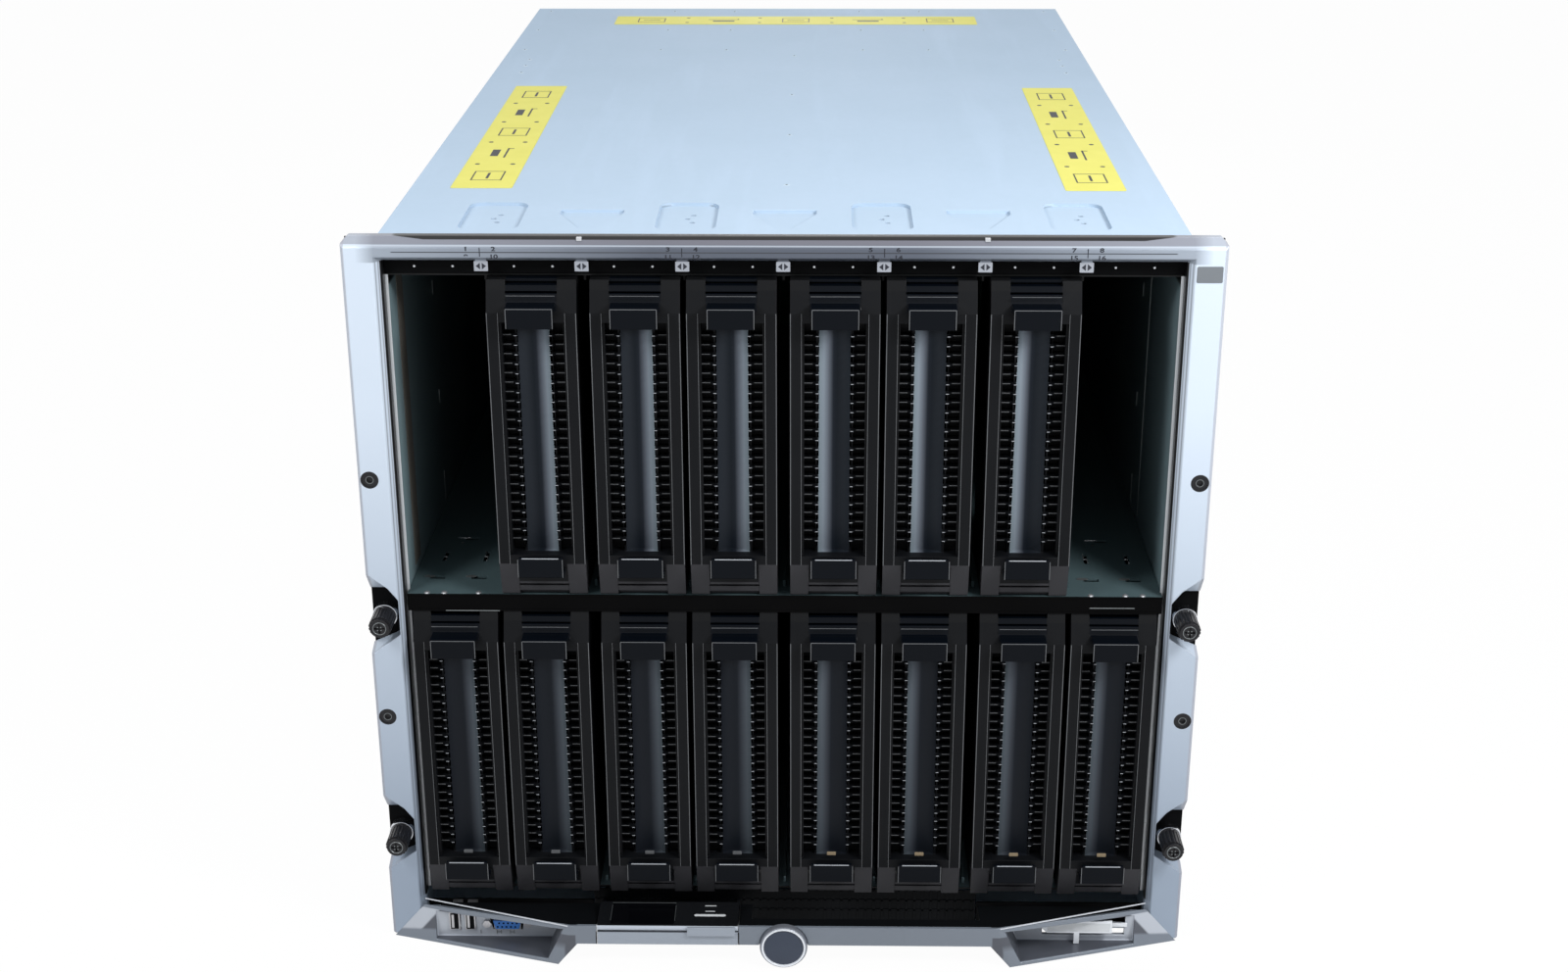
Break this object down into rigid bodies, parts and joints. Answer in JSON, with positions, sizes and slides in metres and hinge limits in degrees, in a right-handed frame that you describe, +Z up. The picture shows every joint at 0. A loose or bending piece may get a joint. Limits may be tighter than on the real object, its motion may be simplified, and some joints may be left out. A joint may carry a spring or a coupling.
{
  "type": "blade server chassis",
  "caption": "Rack chassis for blade servers with louvred blanks, a bezel with thumbscrews, a slide-out display, and hot-swap power, fan and management modules.",
  "frame": {"origin": "middle of the underside of the sheet-metal body, on the surface it rests on", "axes": "+X to the right seen from the front, +Y from the front to the back, +Z up"},
  "size_m": [0.4826, 0.8356, 0.4428],
  "materials": {
    "galvanised_steel": "zinc plated, satin",
    "cover_steel": "zinc plated, pale blue-grey satin",
    "front_frame": "black satin paint",
    "bezel_silver": "silver metallic paint on plastic",
    "chin_silver": "silver metallic paint on plastic",
    "tray_black": "fine black texture",
    "ports": "nickel plated shells, blue insert",
    "badge": "dark disc in a silver ring, bare",
    "name_bar": "satin silver, bare",
    "bay_steel": "galvanised, blue-green grey",
    "midplane": "green board with black connectors",
    "cage_steel": "galvanised",
    "fan_plastic": "black plastic",
    "black_screw": "black oxide",
    "collar_chrome": "polished",
    "lcd_carrier": "silver front edge",
    "lcd_panel": "glossy black",
    "thumb_black": "knurled black",
    "blank_plastic": "satin black, fine texture",
    "psu_metal": "plated sheet, black handle",
    "io_filler": "dark grey",
    "module_metal": "plated sheet, dark face",
    "rotor_black": "black plastic"
  },
  "bodies": {
    "chassis": {"chassis_shell": "galvanised_steel", "top_cover": "cover_steel", "front_frame": "front_frame", "bezel_frame": "bezel_silver", "bezel_chin": "chin_silver", "chin_tray": "tray_black", "front_ports": "ports", "round_badge": "badge", "name_bar": "name_bar", "mid_shelf": "bay_steel", "bay_liner": "bay_steel", "midplane": "midplane", "rear_cage": "cage_steel", "fan_housings": "fan_plastic", "bezel_screws": "black_screw", "thumbscrew_collars": "collar_chrome"},
    "lcd_carrier": {"lcd_carrier": "lcd_carrier"},
    "lcd_panel": {"lcd_panel": "lcd_panel"},
    "thumbscrew_1": {"thumbscrew_1": "thumb_black"},
    "thumbscrew_2": {"thumbscrew_2": "thumb_black"},
    "thumbscrew_3": {"thumbscrew_3": "thumb_black"},
    "thumbscrew_4": {"thumbscrew_4": "thumb_black"},
    "blank_02": {"blank_02": "blank_plastic"},
    "blank_03": {"blank_03": "blank_plastic"},
    "blank_04": {"blank_04": "blank_plastic"},
    "blank_05": {"blank_05": "blank_plastic"},
    "blank_06": {"blank_06": "blank_plastic"},
    "blank_07": {"blank_07": "blank_plastic"},
    "blank_09": {"blank_09": "blank_plastic"},
    "blank_10": {"blank_10": "blank_plastic"},
    "blank_11": {"blank_11": "blank_plastic"},
    "blank_12": {"blank_12": "blank_plastic"},
    "blank_13": {"blank_13": "blank_plastic"},
    "blank_14": {"blank_14": "blank_plastic"},
    "blank_15": {"blank_15": "blank_plastic"},
    "blank_16": {"blank_16": "blank_plastic"},
    "power_supply_1": {"power_supply_1": "psu_metal"},
    "power_supply_2": {"power_supply_2": "psu_metal"},
    "power_supply_3": {"power_supply_3": "psu_metal"},
    "power_supply_4": {"power_supply_4": "psu_metal"},
    "power_supply_5": {"power_supply_5": "psu_metal"},
    "power_supply_6": {"power_supply_6": "psu_metal"},
    "io_filler_1": {"io_filler_1": "io_filler"},
    "io_filler_2": {"io_filler_2": "io_filler"},
    "io_filler_3": {"io_filler_3": "io_filler"},
    "io_filler_4": {"io_filler_4": "io_filler"},
    "io_filler_5": {"io_filler_5": "io_filler"},
    "io_filler_6": {"io_filler_6": "io_filler"},
    "management_module_1": {"management_module_1": "module_metal"},
    "kvm_module": {"kvm_module": "module_metal"},
    "management_module_2": {"management_module_2": "module_metal"},
    "fan_rotor_1": {"fan_rotor_1": "rotor_black"},
    "fan_rotor_2": {"fan_rotor_2": "rotor_black"},
    "fan_rotor_3": {"fan_rotor_3": "rotor_black"},
    "fan_rotor_4": {"fan_rotor_4": "rotor_black"},
    "fan_rotor_5": {"fan_rotor_5": "rotor_black"},
    "fan_rotor_6": {"fan_rotor_6": "rotor_black"},
    "fan_rotor_7": {"fan_rotor_7": "rotor_black"},
    "fan_rotor_8": {"fan_rotor_8": "rotor_black"},
    "fan_rotor_9": {"fan_rotor_9": "rotor_black"}
  },
  "joints": [
    {"name": "lcd_carrier_slide", "type": "slide", "parent": "chassis", "child": "lcd_carrier", "axis": [0, -1, 0], "range_m": [0, 0.045]},
    {"name": "lcd_panel_tilt", "type": "hinge", "parent": "lcd_carrier", "child": "lcd_panel", "pos_m": [-0.0697, -0.41805, 0.02535], "axis": [-1, 0, 0], "range_deg": [-60, 0]},
    {"name": "thumbscrew_1_turn", "type": "hinge", "parent": "chassis", "child": "thumbscrew_1", "pos_m": [-0.2325, -0.387, 0.07], "axis": [0, -1, 0], "continuous": true},
    {"name": "thumbscrew_2_turn", "type": "hinge", "parent": "chassis", "child": "thumbscrew_2", "pos_m": [0.2325, -0.387, 0.07], "axis": [0, -1, 0], "continuous": true},
    {"name": "thumbscrew_3_turn", "type": "hinge", "parent": "chassis", "child": "thumbscrew_3", "pos_m": [-0.2325, -0.387, 0.215], "axis": [0, -1, 0], "continuous": true},
    {"name": "thumbscrew_4_turn", "type": "hinge", "parent": "chassis", "child": "thumbscrew_4", "pos_m": [0.2325, -0.387, 0.215], "axis": [0, -1, 0], "continuous": true},
    {"name": "blank_02_slide", "type": "slide", "parent": "chassis", "child": "blank_02", "axis": [0, -1, 0], "range_m": [0, 0.075]},
    {"name": "blank_03_slide", "type": "slide", "parent": "chassis", "child": "blank_03", "axis": [0, -1, 0], "range_m": [0, 0.075]},
    {"name": "blank_04_slide", "type": "slide", "parent": "chassis", "child": "blank_04", "axis": [0, -1, 0], "range_m": [0, 0.075]},
    {"name": "blank_05_slide", "type": "slide", "parent": "chassis", "child": "blank_05", "axis": [0, -1, 0], "range_m": [0, 0.075]},
    {"name": "blank_06_slide", "type": "slide", "parent": "chassis", "child": "blank_06", "axis": [0, -1, 0], "range_m": [0, 0.075]},
    {"name": "blank_07_slide", "type": "slide", "parent": "chassis", "child": "blank_07", "axis": [0, -1, 0], "range_m": [0, 0.075]},
    {"name": "blank_09_slide", "type": "slide", "parent": "chassis", "child": "blank_09", "axis": [0, -1, 0], "range_m": [0, 0.075]},
    {"name": "blank_10_slide", "type": "slide", "parent": "chassis", "child": "blank_10", "axis": [0, -1, 0], "range_m": [0, 0.075]},
    {"name": "blank_11_slide", "type": "slide", "parent": "chassis", "child": "blank_11", "axis": [0, -1, 0], "range_m": [0, 0.075]},
    {"name": "blank_12_slide", "type": "slide", "parent": "chassis", "child": "blank_12", "axis": [0, -1, 0], "range_m": [0, 0.075]},
    {"name": "blank_13_slide", "type": "slide", "parent": "chassis", "child": "blank_13", "axis": [0, -1, 0], "range_m": [0, 0.075]},
    {"name": "blank_14_slide", "type": "slide", "parent": "chassis", "child": "blank_14", "axis": [0, -1, 0], "range_m": [0, 0.075]},
    {"name": "blank_15_slide", "type": "slide", "parent": "chassis", "child": "blank_15", "axis": [0, -1, 0], "range_m": [0, 0.075]},
    {"name": "blank_16_slide", "type": "slide", "parent": "chassis", "child": "blank_16", "axis": [0, -1, 0], "range_m": [0, 0.075]},
    {"name": "power_supply_1_slide", "type": "slide", "parent": "chassis", "child": "power_supply_1", "axis": [0, 1, 0], "range_m": [0, 0.2]},
    {"name": "power_supply_2_slide", "type": "slide", "parent": "chassis", "child": "power_supply_2", "axis": [0, 1, 0], "range_m": [0, 0.2]},
    {"name": "power_supply_3_slide", "type": "slide", "parent": "chassis", "child": "power_supply_3", "axis": [0, 1, 0], "range_m": [0, 0.2]},
    {"name": "power_supply_4_slide", "type": "slide", "parent": "chassis", "child": "power_supply_4", "axis": [0, 1, 0], "range_m": [0, 0.2]},
    {"name": "power_supply_5_slide", "type": "slide", "parent": "chassis", "child": "power_supply_5", "axis": [0, 1, 0], "range_m": [0, 0.2]},
    {"name": "power_supply_6_slide", "type": "slide", "parent": "chassis", "child": "power_supply_6", "axis": [0, 1, 0], "range_m": [0, 0.2]},
    {"name": "io_filler_1_slide", "type": "slide", "parent": "chassis", "child": "io_filler_1", "axis": [0, 1, 0], "range_m": [0, 0.062]},
    {"name": "io_filler_2_slide", "type": "slide", "parent": "chassis", "child": "io_filler_2", "axis": [0, 1, 0], "range_m": [0, 0.062]},
    {"name": "io_filler_3_slide", "type": "slide", "parent": "chassis", "child": "io_filler_3", "axis": [0, 1, 0], "range_m": [0, 0.062]},
    {"name": "io_filler_4_slide", "type": "slide", "parent": "chassis", "child": "io_filler_4", "axis": [0, 1, 0], "range_m": [0, 0.062]},
    {"name": "io_filler_5_slide", "type": "slide", "parent": "chassis", "child": "io_filler_5", "axis": [0, 1, 0], "range_m": [0, 0.062]},
    {"name": "io_filler_6_slide", "type": "slide", "parent": "chassis", "child": "io_filler_6", "axis": [0, 1, 0], "range_m": [0, 0.062]},
    {"name": "management_module_1_slide", "type": "slide", "parent": "chassis", "child": "management_module_1", "axis": [0, 1, 0], "range_m": [0, 0.175]},
    {"name": "kvm_module_slide", "type": "slide", "parent": "chassis", "child": "kvm_module", "axis": [0, 1, 0], "range_m": [0, 0.175]},
    {"name": "management_module_2_slide", "type": "slide", "parent": "chassis", "child": "management_module_2", "axis": [0, 1, 0], "range_m": [0, 0.175]},
    {"name": "fan_rotor_1_spin", "type": "hinge", "parent": "chassis", "child": "fan_rotor_1", "pos_m": [-0.17877, 0.3455, 0.1653], "axis": [0, 1, 0], "continuous": true},
    {"name": "fan_rotor_2_spin", "type": "hinge", "parent": "chassis", "child": "fan_rotor_2", "pos_m": [-0.17877, 0.3455, 0.2595], "axis": [0, 1, 0], "continuous": true},
    {"name": "fan_rotor_3_spin", "type": "hinge", "parent": "chassis", "child": "fan_rotor_3", "pos_m": [-0.17877, 0.3455, 0.3537], "axis": [0, 1, 0], "continuous": true},
    {"name": "fan_rotor_4_spin", "type": "hinge", "parent": "chassis", "child": "fan_rotor_4", "pos_m": [0, 0.3455, 0.1653], "axis": [0, 1, 0], "continuous": true},
    {"name": "fan_rotor_5_spin", "type": "hinge", "parent": "chassis", "child": "fan_rotor_5", "pos_m": [0, 0.3455, 0.2595], "axis": [0, 1, 0], "continuous": true},
    {"name": "fan_rotor_6_spin", "type": "hinge", "parent": "chassis", "child": "fan_rotor_6", "pos_m": [0, 0.3455, 0.3537], "axis": [0, 1, 0], "continuous": true},
    {"name": "fan_rotor_7_spin", "type": "hinge", "parent": "chassis", "child": "fan_rotor_7", "pos_m": [0.17877, 0.3455, 0.1653], "axis": [0, 1, 0], "continuous": true},
    {"name": "fan_rotor_8_spin", "type": "hinge", "parent": "chassis", "child": "fan_rotor_8", "pos_m": [0.17877, 0.3455, 0.2595], "axis": [0, 1, 0], "continuous": true},
    {"name": "fan_rotor_9_spin", "type": "hinge", "parent": "chassis", "child": "fan_rotor_9", "pos_m": [0.17877, 0.3455, 0.3537], "axis": [0, 1, 0], "continuous": true}
  ]
}
